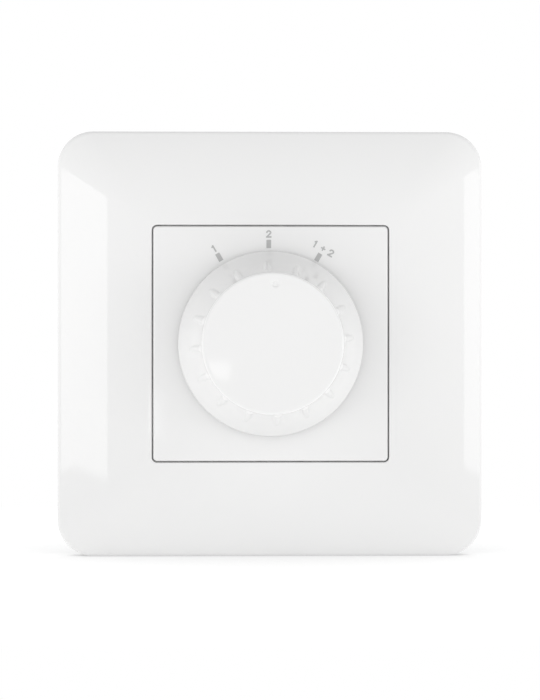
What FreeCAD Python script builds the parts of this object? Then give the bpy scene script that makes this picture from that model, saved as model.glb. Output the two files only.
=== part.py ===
import FreeCAD, Part
import math
import os

from FreeCAD import Vector

# A rotary speaker selector switch for a flush wall box.
# Millimetres. Seen from the front, X points right and Z up. Y points into the wall.
# The origin is on the knob's axis, in the plane of the wall.

# Cover frame
frame_width = 81.0
frame_overhang = 5.0
frame_corner = 6.8
frame_depth = 9.0
frame_edge_round = 1.0
frame_edge_slope = 24.0
frame_shell = 2.0
frame_side_wall = 1.8
window_width = 45.0
window_corner = 1.0
window_wall = 1.6
window_ledge = 1.5
window_ledge_thickness = 1.5
locating_rib_thickness = 1.2
locating_rib_spacing = 44.0
locating_clearance = 0.3

# Centre plate
plate_gap = 0.27
plate_thickness = 2.0
plate_edge_round = 0.35
plate_hole_radius = 6.2
plate_rib_height = 1.2
plate_rib_thickness = 1.0
finger_spacing = 15.0
finger_width = 5.0
finger_thickness = 1.2
finger_edge = 4.2
finger_hook = 0.9
finger_hook_length = 2.0
finger_slot_clearance = 0.3
finger_hook_clearance = 0.1

# Printed marks
ink_thickness = 0.04
print_shift_x = -0.35
print_shift_z = 0.13
position_angle = 30.0
tick_radius = 18.75
tick_width = 0.88
tick_length = 1.6
label_radius = 20.65
digit_height = 1.42
digit_width = 1.04
digit_stroke = 0.28
digit_pitch = 1.7
digit_flag_width = 0.35
digit_flag_height = 0.4
plus_reach = 0.45

# Knob
knob_skirt_radius = 17.5
knob_gap = 0.7
knob_lip = 0.5
knob_height = 15.0
knob_top_radius = 13.1
knob_edge_round = 0.5
knob_crown = 0.2
knob_wall = 1.9
knob_flank_hollow = 0.42
knob_hub_radius = 5.2
knob_hub_recess = 0.2
knob_bore_spare = 0.4
knob_web_count = 6
knob_web_thickness = 1.0
knob_web_depth = 8.0
grip_rib_count = 16
grip_rib_angle = -4.0
grip_rib_radius = 1.0
grip_rib_height = 0.22
grip_rib_run = 9.0
dimple_radius = 1.2
dimple_width = 1.5
dimple_place = 10.95
dimple_angle = 2.5

# Shaft
shaft_radius = 3.0
shaft_flat = 1.5
shaft_flat_runout = 0.4
shaft_reach = 12.0
shaft_drive_flat = 2.3
shaft_drive_length = 5.0
shoulder_radius = 4.6
shoulder_thickness = 0.65
pivot_radius = 1.5
pivot_length = 2.7
running_clearance = 0.03
pivot_clearance = 0.04
fixed_clearance = 0.02
knob_spring_thickness = 0.4
knob_spring_width = 4.2
knob_spring_length = 9.0
knob_spring_clearance = 0.03
knob_spring_inset = 1.0
retaining_groove_depth = 0.6
retaining_ring_radius = 5.2
retaining_ring_thickness = 0.5
retaining_ring_clearance = 0.1
retaining_ring_mouth = 2.9

# Mounting ring
ring_corner = 4.0
ring_thickness = 1.2
ring_opening_clearance = 0.3
box_screw_spacing = 60.0
box_slot_radius = 2.1
box_slot_length = 6.4
plug_hole_spacing = 59.0
plug_hole_radius = 1.7

# Base moulding
flange_lap = 1.0
flange_corner = 3.0
base_wall_front = 2.0
base_radius = 25.0
base_wall = 1.8
base_back = 14.0
board_boss_radius = 2.6
board_boss_edge = 3.6
board_boss_z = 5.2

# Screws of the housing
flange_screw_edge = 3.5
screw_radius = 1.25
flange_head_radius = 2.2
flange_head_height = 1.4
housing_head_radius = 2.3
housing_head_height = 1.5
housing_screw_bite = 7.2
pilot_spare = 0.5
screw_hole_clearance = 0.15
recess_width = 0.55
recess_span = 2.4
recess_depth = 0.8
screw_tip_gap = 0.05

# Rotary switch
bushing_radius = 4.5
bushing_length = 4.7
bushing_clearance = 0.1
switch_radius = 13.5
switch_wall = 1.5
front_plate_thickness = 1.5
switch_body_length = 7.0
ear_width = 6.0
rivet_place = 15.2
rivet_radius = 1.0
rivet_head_radius = 1.8
rivet_head_height = 0.8
lug_place = 10.0
lug_radius = 1.2
lug_length = 1.6
lug_clearance = 0.1
washer_radius = 7.0
washer_thickness = 0.5
washer_tooth_count = 12
washer_tooth_depth = 0.9
washer_tooth_gap = 0.8
nut_across_flats = 11.0
nut_thickness = 2.0

# Detent
wheel_thickness = 1.8
wheel_end_gap = 0.1
wheel_radius = 8.0
notch_count = 12
notch_radius = 1.0
notch_place = 8.1
nose_clearance = 0.1
leaf_thickness = 0.3
leaf_width = 1.6
leaf_radius = 9.3
leaf_angle = 52.0
leaf_seat_gap = 0.1
leaf_seat_width = 2.0
stop_lug_width = 2.4
stop_lug_radius = 10.6
stop_post_width = 2.0
stop_post_inner = 9.0
stop_spare_angle = 1.5
post_height = 2.7

# Contacts
rotor_radius = 10.6
rotor_thickness = 2.4
rotor_hub_radius = 4.2
rotor_hub_height = 0.4
rotor_gap = 0.2
pole_count = 4
wiper_thickness = 0.3
wiper_inner = 4.0
wiper_outer = 9.6
wiper_half_angle = 7.0
wiper_point_radius = 0.7
wiper_point_gap = 0.1
pad_thickness = 0.3
pad_inner = 7.3
pad_outer = 9.7
pad_half_angle = 9.0
common_inner = 4.2
common_outer = 5.8
common_half_angle = 38.0
pin_radius = 0.45
pin_proud = 0.6
wafer_thickness = 1.6

# Circuit board
board_front = 11.2
board_thickness = 1.6
board_clearance = 0.3
board_hole_clearance = 0.1

# Terminals
pole_pitch = 5.08
block_edge_gap = 0.6
block_inner = 9.2
block_depth = 7.4
block_height = 10.0
block_window_clearance = 0.3
cage_width = 3.6
cage_depth = 4.4
cage_height = 4.8
cage_wall = 0.5
cage_plate = 1.2
cage_clearance = 0.1
cage_place = 12.7
wire_entry = 2.6
cage_floor = 3.3
terminal_pin_radius = 0.5
clamp_screw_radius = 1.2
clamp_screw_length = 2.6
clamp_head_radius = 1.8
clamp_head_height = 1.2
clamp_head_lift = 0.3
clamp_well_clearance = 0.1
clamp_slot_width = 0.6
clamp_slot_depth = 0.6

# Rear cover
rear_cover_depth = 2.8
rear_cover_wall = 1.6
rear_spigot_wall = 1.6
rear_spigot_clearance = 0.2
rear_board_gap = 0.1

# How far a cutting shape reaches past the face that it goes through
overcut = 1.0

# Sizes that follow from the ones above
ring_width = frame_width - 2 * frame_overhang
base_inner_radius = base_radius - base_wall
ring_opening = base_radius + ring_opening_clearance
flange_width = 2 * (base_radius + flange_lap)
flange_screw_place = flange_width / 2 - flange_screw_edge
finger_offset = base_inner_radius - finger_edge
board_boss_x = base_inner_radius - board_boss_edge
block_outer = block_inner + block_depth
block_room = 2 * math.sqrt((base_inner_radius - block_edge_gap) ** 2 - block_outer**2)
poles_per_block = int(block_room / pole_pitch)
switch_inner_radius = switch_radius - switch_wall
plate_width = window_width - 2 * plate_gap
plate_corner = window_corner - plate_gap
knob_face_radius = knob_top_radius - knob_edge_round

# Places along Y that follow from the sizes above
frame_front = -frame_depth
window_seat = frame_front + plate_thickness
ledge_back = window_seat + window_ledge_thickness
ring_front = -ring_thickness
flange_front = ring_front - base_wall_front
bushing_front = ring_front - bushing_length
washer_front = flange_front - washer_thickness
nut_front = washer_front - nut_thickness
plate_back = ring_front + front_plate_thickness
wafer_front = plate_back + switch_body_length
wafer_back = wafer_front + wafer_thickness
shoulder_front = plate_back + running_clearance
shoulder_back = shoulder_front + shoulder_thickness
wheel_front = shoulder_back + wheel_end_gap
wheel_back = wheel_front + wheel_thickness
rotor_front = wheel_back + rotor_gap
rotor_back = rotor_front + rotor_hub_height + rotor_thickness
drive_back = shoulder_back + shaft_drive_length
pad_front = wafer_front - pad_thickness
board_back = board_front + board_thickness
block_back = board_back + block_height
cage_front = board_back + cage_floor
cage_back = cage_front + cage_height
cover_back = base_back + rear_cover_depth
knob_back = frame_front - knob_gap
knob_front = knob_back - knob_height
knob_ceiling = knob_front + knob_wall
hub_back = knob_back - knob_hub_recess
shaft_front = frame_front - shaft_reach


def rod(radius, front, back, x=0.0, z=0.0):
    """A round bar along Y."""
    return Part.makeCylinder(radius, back - front, Vector(x, front, z), Vector(0, 1, 0))


def tube(outer, inner, front, back, x=0.0, z=0.0):
    """A round bar with a bore."""
    return rod(outer, front, back, x, z).cut(rod(inner, front - overcut, back + overcut, x, z))


def block(x0, x1, front, back, z0, z1):
    """A box between two corners."""
    return Part.makeBox(x1 - x0, back - front, z1 - z0, Vector(x0, front, z0))


def centred_block(width, height, front, back, x=0.0, z=0.0):
    """A box centred on a line along Y."""
    return block(x - width / 2, x + width / 2, front, back, z - height / 2, z + height / 2)


def turned(shape, angle):
    """A copy turned about the knob's axis, clockwise as seen from the front."""
    copy = shape.copy()
    copy.rotate(Vector(0, 0, 0), Vector(0, 1, 0), angle)
    return copy


def around(shape, count, first=0.0):
    """Copies spaced evenly about the knob's axis."""
    return [turned(shape, first + 360.0 * step / count) for step in range(count)]


def corners(x, z):
    """The four points at plus and minus x and z."""
    return [(x, z), (-x, z), (-x, -z), (x, -z)]


def outline(width, corner, y):
    """A square wire across Y with round corners."""
    half = width / 2
    flat = half - corner
    bulge = flat + corner * math.sqrt(0.5)
    edges = []
    for quarter in range(4):
        cos = (1, 0, -1, 0)[quarter]
        sin = (0, 1, 0, -1)[quarter]
        around_y = [
            Vector(x * cos - z * sin, y, x * sin + z * cos)
            for x, z in ((half, -flat), (half, flat), (bulge, bulge), (flat, half))
        ]
        edges.append(Part.LineSegment(around_y[0], around_y[1]).toShape())
        edges.append(Part.Arc(around_y[1], around_y[2], around_y[3]).toShape())
    return Part.Wire(edges)


def rounded_block(width, corner, front, back):
    """A square block with round upright corners."""
    return Part.Face(outline(width, corner, front)).extrude(Vector(0, back - front, 0))


def sector(inner, outer, half_angle, front, back):
    """Part of a flat ring, centred on the line straight up from the axis."""
    reach = (outer + overcut) / math.cos(math.radians(half_angle))
    side = reach * math.tan(math.radians(half_angle))
    points = [Vector(0, front, 0), Vector(-side, front, reach), Vector(side, front, reach)]
    wedge = Part.Face(Part.makePolygon(points + points[:1])).extrude(Vector(0, back - front, 0))
    return tube(outer, inner, front, back).common(wedge)


def d_bar(radius, flat, front, back):
    """A round bar with one flat, which faces up."""
    return rod(radius, front, back).cut(block(-radius, radius, front, back, flat, 2 * radius))


def revolved(wire_edges):
    """A solid turned about the knob's axis from edges in the plane of X and Y."""
    face = Part.Face(Part.Wire(wire_edges))
    return face.revolve(Vector(0, 0, 0), Vector(0, 1, 0), 360)


def line(a, b):
    """A straight edge between two points in the plane of X and Y."""
    return Part.LineSegment(Vector(a[0], a[1], 0), Vector(b[0], b[1], 0)).toShape()


def arc(a, middle, b):
    """A round edge through three points in the plane of X and Y."""
    points = [Vector(x, y, 0) for x, y in (a, middle, b)]
    return Part.Arc(*points).toShape()


def cross_recess(front, back, x, z):
    """The cross cut in a screw's head."""
    wide = centred_block(recess_span, recess_width, front, back, x, z)
    tall = centred_block(recess_width, recess_span, front, back, x, z)
    return wide.fuse(tall)


# Cover frame


def crown_centre(inset):
    """Height of the centre of the arc across one side of the frame, and the arc's radius."""
    run = (frame_width - window_width) / 2
    radius = run / math.sin(math.radians(frame_edge_slope))
    return frame_front + radius, radius - inset


def crown_sections(inset, outer_half, inner_half, steps, outer_corner):
    """Outlines that follow the convex face, from the outside inwards."""
    centre_y, radius = crown_centre(inset)
    start = window_width / 2
    high = math.asin((outer_half - start) / radius)
    low = math.asin((inner_half - start) / radius)
    wires = []
    for step in range(steps + 1):
        angle = high + (low - high) * step / steps
        half = start + radius * math.sin(angle)
        share = (half - start) / (outer_half - start)
        corner = window_corner + (outer_corner - window_corner) * share
        wires.append(outline(2 * half, corner, centre_y - radius * math.cos(angle)))
    return wires


def edge_round():
    """Where the rounding of the outer edge is centred, and the slope it ends at."""
    centre_y, radius = crown_centre(0.0)
    across = frame_width / 2 - frame_edge_round - window_width / 2
    reach = radius - frame_edge_round
    return centre_y - math.sqrt(reach**2 - across**2), math.asin(across / reach)


def edge_sections(steps):
    """Outlines round the outer edge, from the side wall to the convex face."""
    centre_y, slope = edge_round()
    centre_half = frame_width / 2 - frame_edge_round
    wires = []
    for step in range(steps + 1):
        angle = math.pi / 2 + (slope - math.pi / 2) * step / steps
        half = centre_half + frame_edge_round * math.sin(angle)
        corner = frame_corner - (frame_width / 2 - half)
        wires.append(outline(2 * half, corner, centre_y - frame_edge_round * math.cos(angle)))
    return wires


def frame_blank():
    """The outside of the frame as one filled block."""
    centre_y, slope = edge_round()
    edge = edge_sections(4)
    edge_half = frame_width / 2 - frame_edge_round * (1 - math.sin(slope))
    edge_corner = frame_corner - frame_edge_round * (1 - math.sin(slope))
    crown = crown_sections(0.0, edge_half, window_width / 2, 5, edge_corner)
    side = rounded_block(frame_width, frame_corner, centre_y, 0.0)
    return side.fuse([Part.makeLoft(edge, True, False), Part.makeLoft(crown, True, False)])


def frame_hollow():
    """The space behind the face, without the column that holds the window."""
    half = frame_width / 2 - frame_side_wall
    corner = frame_corner - frame_side_wall
    column = window_width + 2 * window_wall
    crown = crown_sections(frame_shell, half, column / 2, 4, corner)
    ceiling_y = crown[0].BoundBox.YMin
    roof = Part.makeLoft(crown, True, False)
    room = rounded_block(2 * half, corner, ceiling_y, overcut)
    keep = rounded_block(column, window_corner + window_wall, frame_front, ledge_back)
    return roof.fuse(room).cut(keep)


def locating_ribs():
    """Short ribs inside the side walls, which centre the frame on the mounting ring."""
    inner = ring_width / 2 + locating_clearance
    outer = frame_width / 2 - frame_side_wall / 2
    centre_y, _ = edge_round()
    ribs = []
    for side in (-1, 1):
        z = side * locating_rib_spacing / 2
        half = locating_rib_thickness / 2
        ribs += around(block(inner, outer, centre_y, 0.0, z - half, z + half), 4)
    return ribs


def make_cover_frame():
    window = rounded_block(window_width, window_corner, frame_front - overcut, window_seat)
    opening_width = window_width - 2 * window_ledge
    opening = rounded_block(opening_width, window_corner, frame_front - overcut, overcut)
    frame = frame_blank().cut([frame_hollow(), window, opening])
    return frame.fuse(locating_ribs()).removeSplitter()


# Centre plate


def snap_finger(side):
    """One finger with its hook, on the upper edge of the plate."""
    x = side * finger_spacing / 2
    half = finger_width / 2
    inner = finger_offset - finger_thickness / 2
    outer = finger_offset + finger_thickness / 2
    hook_front = ring_front + finger_hook_clearance
    tip = hook_front + finger_hook_length
    stem = block(x - half, x + half, window_seat, tip, inner, outer)
    corner = [
        Vector(x - half, hook_front, outer),
        Vector(x - half, hook_front, outer + finger_hook),
        Vector(x - half, tip, outer),
    ]
    hook = Part.Face(Part.makePolygon(corner + corner[:1])).extrude(Vector(finger_width, 0, 0))
    return stem.fuse(hook)


def make_centre_plate():
    plate = rounded_block(plate_width, plate_corner, frame_front, window_seat)
    rim = [edge for edge in plate.Edges if abs(edge.BoundBox.YMax - frame_front) < 1e-6]
    plate = plate.makeFillet(plate_edge_round, rim)
    upper = [snap_finger(-1), snap_finger(1)]
    lower = [turned(finger, 180) for finger in upper]
    rib_back = window_seat + plate_rib_height
    collar_radius = plate_hole_radius + plate_rib_thickness
    collar = rod(collar_radius, window_seat, rib_back)
    reach = finger_offset - finger_thickness
    half = plate_rib_thickness / 2
    ribs = [block(-reach, reach, window_seat, rib_back, -half, half)]
    ribs.append(turned(ribs[0], 90))
    plate = plate.fuse(upper + lower + ribs + [collar])
    return plate.cut(rod(plate_hole_radius, frame_front - overcut, rib_back + overcut)).removeSplitter()


# Printed marks


def stroke(u0, u1, v0, v1):
    """One straight stroke of ink, in the mark's own right and up."""
    return block(u0, u1, frame_front - ink_thickness, frame_front, v0, v1)


def slanted_stroke(start, end):
    """A stroke of ink between two points."""
    length = math.hypot(end[0] - start[0], end[1] - start[1])
    angle = math.degrees(math.atan2(end[0] - start[0], end[1] - start[1]))
    ink = turned(stroke(-digit_stroke / 2, digit_stroke / 2, 0, length), angle)
    ink.translate(Vector(start[0], 0, start[1]))
    return ink


def digit_one():
    half = digit_height / 2
    stem = stroke(-digit_stroke / 2, digit_stroke / 2, -half, half)
    flag_top = (0, half - digit_stroke / 2)
    flag_tip = (-digit_flag_width, half - digit_flag_height)
    return stem.fuse(slanted_stroke(flag_tip, flag_top))


def digit_two():
    half = digit_height / 2
    bowl = digit_width / 2
    centre = half - bowl
    front = frame_front - ink_thickness
    ring = tube(bowl, bowl - digit_stroke, front, frame_front, 0, centre)
    ring = ring.cut(block(-bowl, bowl, front, frame_front, centre - bowl, centre))
    middle = bowl - digit_stroke / 2
    diagonal = slanted_stroke((-middle, -half + digit_stroke / 2), (middle, centre))
    foot = stroke(-bowl, bowl, -half, -half + digit_stroke)
    return ring.fuse([diagonal, foot])


def plus_sign():
    across = stroke(-plus_reach, plus_reach, -digit_stroke / 2, digit_stroke / 2)
    upright = stroke(-digit_stroke / 2, digit_stroke / 2, -plus_reach, plus_reach)
    return across.fuse(upright)


def label(characters):
    """Characters side by side, centred on the label's place above the tick."""
    solids = []
    for place, character in enumerate(characters):
        shift = (place - (len(characters) - 1) / 2) * digit_pitch
        character.translate(Vector(shift, 0, label_radius))
        solids.append(character)
    return solids


def make_position_marks():
    low = tick_radius - tick_length / 2
    solids = []
    labels = {-1: [digit_one()], 0: [digit_two()], 1: [digit_one(), plus_sign(), digit_two()]}
    for place, characters in labels.items():
        tick = stroke(-tick_width / 2, tick_width / 2, low, low + tick_length)
        for ink in [tick] + label(characters):
            ink = turned(ink, place * position_angle)
            ink.translate(Vector(print_shift_x, 0, print_shift_z))
            solids.append(ink.removeSplitter())
    return Part.makeCompound(solids)


# Knob


def crown_height(reach):
    """How far the knob's face stands out at a distance from the axis."""
    return knob_crown * (1 - (reach / knob_face_radius) ** 2)


def knob_shell():
    """The knob's turned shape, open at the back."""
    lip_front = knob_back - knob_lip
    flank_front = knob_front + knob_edge_round
    low = (knob_skirt_radius, lip_front)
    high = (knob_top_radius, flank_front)
    length = math.hypot(low[0] - high[0], low[1] - high[1])
    inward = Vector(-(low[1] - high[1]) / length, (low[0] - high[0]) / length, 0)
    middle = (
        (low[0] + high[0]) / 2 + inward.x * knob_flank_hollow,
        (low[1] + high[1]) / 2 + inward.y * knob_flank_hollow,
    )
    top = (knob_face_radius, knob_front)
    bend = knob_edge_round * (1 - math.sqrt(0.5))
    corner = (knob_top_radius - bend, knob_front + bend)
    crown = knob_front - crown_height(0)
    crown_middle = (top[0] / 2, knob_front - crown_height(top[0] / 2))
    inner_low = (knob_skirt_radius - knob_wall, knob_back)
    inner_high = (knob_top_radius - knob_wall, knob_ceiling)
    inner_middle = (
        (inner_low[0] + inner_high[0]) / 2 + inward.x * knob_flank_hollow,
        (inner_low[1] + inner_high[1]) / 2 + inward.y * knob_flank_hollow,
    )
    return revolved([
        line((knob_skirt_radius, knob_back), low),
        arc(low, middle, high),
        arc(high, corner, top),
        arc(top, crown_middle, (0, crown)),
        line((0, crown), (0, knob_ceiling)),
        line((0, knob_ceiling), inner_high),
        arc(inner_high, inner_middle, inner_low),
        line(inner_low, (knob_skirt_radius, knob_back)),
    ])


def grip_rib():
    """One rib up the flank, which stands proud at the top and fades out towards the skirt."""
    top_y = knob_front + knob_edge_round
    low_y = top_y + grip_rib_run
    rise = (knob_skirt_radius - knob_top_radius) / (knob_height - knob_lip - knob_edge_round)
    top_crest = knob_top_radius + grip_rib_height
    low_crest = knob_top_radius + rise * grip_rib_run - knob_flank_hollow
    start = Vector(0, top_y, top_crest - grip_rib_radius)
    end = Vector(0, low_y, low_crest - grip_rib_radius)
    along = end.sub(start)
    return Part.makeCylinder(grip_rib_radius, along.Length, start, along)


def make_knob():
    knob = knob_shell()
    hub = rod(knob_hub_radius, knob_ceiling, hub_back)
    web_back = knob_ceiling + knob_web_depth
    half = knob_web_thickness / 2
    web = block(-half, half, knob_ceiling, web_back, 0, knob_top_radius - knob_wall / 2)
    webs = around(web, knob_web_count)
    ribs = around(grip_rib(), grip_rib_count, grip_rib_angle)
    knob = knob.fuse([hub] + webs + ribs)
    bore_front = shaft_front - knob_bore_spare
    bore_radius = shaft_radius + fixed_clearance
    spring_room = knob_spring_thickness + 2 * knob_spring_clearance
    bore = d_bar(bore_radius, shaft_flat + spring_room, bore_front, hub_back + overcut)
    lift = math.sqrt(dimple_radius**2 - (dimple_width / 2) ** 2)
    place = Vector(0, knob_front - crown_height(dimple_place) - lift, dimple_place)
    dimple = turned(Part.makeSphere(dimple_radius, place), dimple_angle)
    return knob.cut([bore, dimple]).removeSplitter()


def make_knob_spring():
    low = shaft_flat + knob_spring_clearance
    half = knob_spring_width / 2
    back = hub_back - knob_spring_inset
    strip = block(-half, half, back - knob_spring_length, back, low, low + knob_spring_thickness)
    return strip.common(rod(shaft_radius, back - knob_spring_length, back))


# Shaft and what turns with it


def make_switch_shaft():
    flat_back = frame_front + shaft_flat_runout
    front = d_bar(shaft_radius, shaft_flat, shaft_front, flat_back)
    plain = rod(shaft_radius, flat_back, shoulder_front)
    shoulder = rod(shoulder_radius, shoulder_front, shoulder_back)
    drive = d_bar(shaft_radius, shaft_drive_flat, shoulder_back, drive_back)
    pivot = rod(pivot_radius, drive_back, drive_back + pivot_length)
    shaft = front.fuse([plain, shoulder, drive, pivot])
    groove_back = bushing_front - retaining_ring_clearance
    groove_front = groove_back - retaining_ring_thickness - fixed_clearance
    floor = shaft_radius - retaining_groove_depth
    return shaft.cut(tube(shaft_radius + overcut, floor, groove_front, groove_back)).removeSplitter()


def make_retaining_ring():
    back = bushing_front - retaining_ring_clearance - fixed_clearance / 2
    front = back - retaining_ring_thickness
    inner = shaft_radius - retaining_groove_depth + fixed_clearance
    ring = tube(retaining_ring_radius, inner, front, back)
    half = retaining_ring_mouth / 2
    return ring.cut(block(-half, half, front - overcut, back + overcut, -retaining_ring_radius, 0))


def make_detent_wheel():
    wheel = rod(wheel_radius, wheel_front, wheel_back)
    half = stop_lug_width / 2
    lug = block(-half, half, wheel_front, wheel_back, -stop_lug_radius, 0)
    notch = rod(notch_radius, wheel_front - overcut, wheel_back + overcut, 0, notch_place)
    notches = [
        turned(notch, 360.0 * step / notch_count)
        for step in range(notch_count)
        if 2 * step != notch_count
    ]
    bore = d_bar(
        shaft_radius + fixed_clearance,
        shaft_drive_flat + fixed_clearance,
        wheel_front - overcut,
        wheel_back + overcut,
    )
    return wheel.fuse(lug).cut(notches + [bore]).removeSplitter()


def make_rotor():
    disc_front = rotor_front + rotor_hub_height
    disc = rod(rotor_radius, disc_front, rotor_back)
    hub = rod(rotor_hub_radius, rotor_front, disc_front)
    bore = d_bar(
        shaft_radius + fixed_clearance,
        shaft_drive_flat + fixed_clearance,
        rotor_front - overcut,
        rotor_back + overcut,
    )
    return disc.fuse(hub).cut(bore).removeSplitter()


def make_wiper_contacts():
    """Bridges from the common arc to one pad, each with two contact points."""
    back = rotor_back + wiper_thickness
    leaf = sector(wiper_inner, wiper_outer, wiper_half_angle, rotor_back, back)
    reach = pad_front - wiper_point_gap - wiper_point_radius
    for place in ((common_inner + common_outer) / 2, (pad_inner + pad_outer) / 2):
        stem = rod(wiper_point_radius, rotor_back, reach, 0, place)
        tip = Part.makeSphere(wiper_point_radius, Vector(0, reach, place))
        leaf = leaf.fuse([stem, tip])
    leaf = leaf.cut(rod(rotor_radius, rotor_front, rotor_back)).removeSplitter()
    return Part.makeCompound(around(leaf, pole_count, 180.0 / pole_count))


# Rotary switch, the part that stands still


def switch_outline(front, back):
    """The switch's disc with its two ears, above and below."""
    disc = rod(switch_radius, front, back)
    ears = []
    for z in (rivet_place, -rivet_place):
        ears.append(rod(ear_width / 2, front, back, 0, z))
        ears.append(centred_block(ear_width, rivet_place, front, back, 0, z / 2))
    return disc.fuse(ears).removeSplitter()


def rivet_holes(front, back):
    radius = rivet_radius + fixed_clearance
    return [rod(radius, front - overcut, back + overcut, 0, z) for z in (rivet_place, -rivet_place)]


def make_switch_front_plate():
    plate = switch_outline(ring_front, plate_back)
    bushing = rod(bushing_radius, bushing_front, ring_front)
    lug = rod(lug_radius, ring_front - lug_length, ring_front, -lug_place, 0)
    bore = rod(shaft_radius + running_clearance, bushing_front - overcut, plate_back + overcut)
    plate = plate.fuse([bushing, lug])
    return plate.cut(rivet_holes(ring_front, plate_back) + [bore]).removeSplitter()


def post(width, inner, angle):
    """A post that stands out of the switch body's wall towards the axis."""
    outer = switch_radius - switch_wall / 2
    front = plate_back
    return turned(block(-width / 2, width / 2, front, front + post_height, inner, outer), angle)


def stop_angle():
    """How far from the stop lug's rest the stop posts are."""
    lug = math.degrees(math.asin(stop_lug_width / 2 / stop_post_inner))
    own = math.degrees(math.asin(stop_post_width / 2 / stop_post_inner))
    return position_angle + lug + own + stop_spare_angle


def leaf_seat_angle():
    """How far from the top the seats of the detent spring are."""
    middle = leaf_radius + leaf_thickness / 2
    share = (leaf_seat_width / 2 + leaf_seat_gap) / middle
    return leaf_angle + math.degrees(math.asin(share))


def make_switch_body():
    body = switch_outline(plate_back, wafer_front)
    body = body.cut(rod(switch_inner_radius, plate_back - overcut, wafer_front + overcut))
    stops = [post(stop_post_width, stop_post_inner, 180 + side * stop_angle()) for side in (-1, 1)]
    seats = [post(leaf_seat_width, leaf_radius, side * leaf_seat_angle()) for side in (-1, 1)]
    return body.fuse(stops + seats).cut(rivet_holes(plate_back, wafer_front)).removeSplitter()


def make_detent_spring():
    """A leaf bent round the wheel, with a nose that rests in the notch at the top."""
    front = (wheel_front + wheel_back - leaf_width) / 2
    back = front + leaf_width
    outer = leaf_radius + leaf_thickness
    nose_radius = notch_radius - nose_clearance
    hollow = nose_radius - leaf_thickness
    leaf = sector(leaf_radius, outer, leaf_angle, front, back)
    nose = rod(nose_radius, front, back, 0, notch_place)
    middle = leaf_radius + leaf_thickness / 2
    nose = nose.fuse(block(-nose_radius, nose_radius, front, back, notch_place, middle))
    gap = rod(hollow, front - overcut, back + overcut, 0, notch_place)
    gap = gap.fuse(block(-hollow, hollow, front - overcut, back + overcut, notch_place, outer + overcut))
    return leaf.fuse(nose).cut(gap).removeSplitter()


def make_switch_rivets():
    rivets = []
    for z in (rivet_place, -rivet_place):
        shank = rod(rivet_radius, ring_front + screw_tip_gap, wafer_back, 0, z)
        head = rod(rivet_head_radius, wafer_back, wafer_back + rivet_head_height, 0, z)
        rivets.append(shank.fuse(head).removeSplitter())
    return Part.makeCompound(rivets)


def pad_angles():
    """Three pads to each pole, one for each position of the knob."""
    angles = []
    for pole in range(pole_count):
        middle = (pole + 0.5) * 360.0 / pole_count
        angles += [middle - position_angle, middle, middle + position_angle]
    return angles


def pin_places():
    """Where the switch's pins go through the wafer and the board."""
    pad = (pad_inner + pad_outer) / 2
    common = (common_inner + common_outer) / 2
    places = [(pad, angle) for angle in pad_angles()]
    places += [(common, (pole + 0.5) * 360.0 / pole_count) for pole in range(pole_count)]
    return [
        (reach * math.sin(math.radians(angle)), reach * math.cos(math.radians(angle)))
        for reach, angle in places
    ]


def make_fixed_contacts():
    pad = sector(pad_inner, pad_outer, pad_half_angle, pad_front, wafer_front)
    common = sector(common_inner, common_outer, common_half_angle, pad_front, wafer_front)
    faces = [turned(pad, angle) for angle in pad_angles()]
    faces += around(common, pole_count, 180.0 / pole_count)
    contacts = []
    for face, (x, z) in zip(faces, pin_places()):
        pin = rod(pin_radius, wafer_front, board_back + pin_proud, x, z)
        contacts.append(face.fuse(pin).removeSplitter())
    return Part.makeCompound(contacts)


def make_contact_wafer():
    wafer = switch_outline(wafer_front, wafer_back)
    radius = pin_radius + fixed_clearance
    holes = [rod(radius, wafer_front - overcut, wafer_back + overcut, x, z) for x, z in pin_places()]
    holes.append(rod(pivot_radius + pivot_clearance, wafer_front - overcut, wafer_back + overcut))
    return wafer.cut(holes + rivet_holes(wafer_front, wafer_back))


def make_lock_washer():
    inner = bushing_radius + bushing_clearance
    washer = tube(washer_radius, inner, washer_front, flange_front)
    low = washer_radius - washer_tooth_depth
    half = washer_tooth_gap / 2
    gap = block(-half, half, washer_front - overcut, flange_front + overcut, low, washer_radius + overcut)
    return washer.cut(around(gap, washer_tooth_count))


def make_bushing_nut():
    corner = nut_across_flats / math.sqrt(3)
    points = []
    for step in range(7):
        angle = math.radians(60 * step)
        points.append(Vector(corner * math.cos(angle), nut_front, corner * math.sin(angle)))
    nut = Part.Face(Part.makePolygon(points)).extrude(Vector(0, nut_thickness, 0))
    return nut.cut(rod(bushing_radius + fixed_clearance, nut_front - overcut, washer_front + overcut))


# Mounting ring and housing


def make_mounting_ring():
    ring = rounded_block(ring_width, ring_corner, ring_front, 0.0)
    cuts = [rod(ring_opening, ring_front - overcut, overcut)]
    half = box_slot_length / 2 - box_slot_radius
    middle = box_screw_spacing / 2
    slot = rod(box_slot_radius, ring_front - overcut, overcut, 0, middle - half)
    slot = slot.fuse(rod(box_slot_radius, ring_front - overcut, overcut, 0, middle + half))
    slot = slot.fuse(centred_block(2 * box_slot_radius, 2 * half, ring_front - overcut, overcut, 0, middle))
    cuts += around(slot, 4)
    tapped = screw_radius + fixed_clearance
    for x, z in corners(flange_screw_place, flange_screw_place):
        cuts.append(rod(tapped, ring_front - overcut, overcut, x, z))
    for x, z in corners(plug_hole_spacing / 2, plug_hole_spacing / 2):
        cuts.append(rod(plug_hole_radius, ring_front - overcut, overcut, x, z))
    return ring.cut(cuts)


def finger_slot(side):
    """The slot that one snap finger goes through."""
    x = side * finger_spacing / 2
    width = finger_width + 2 * finger_slot_clearance
    height = finger_thickness + 2 * finger_slot_clearance
    return centred_block(width, height, flange_front - overcut, ring_front + overcut, x, finger_offset)


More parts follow.
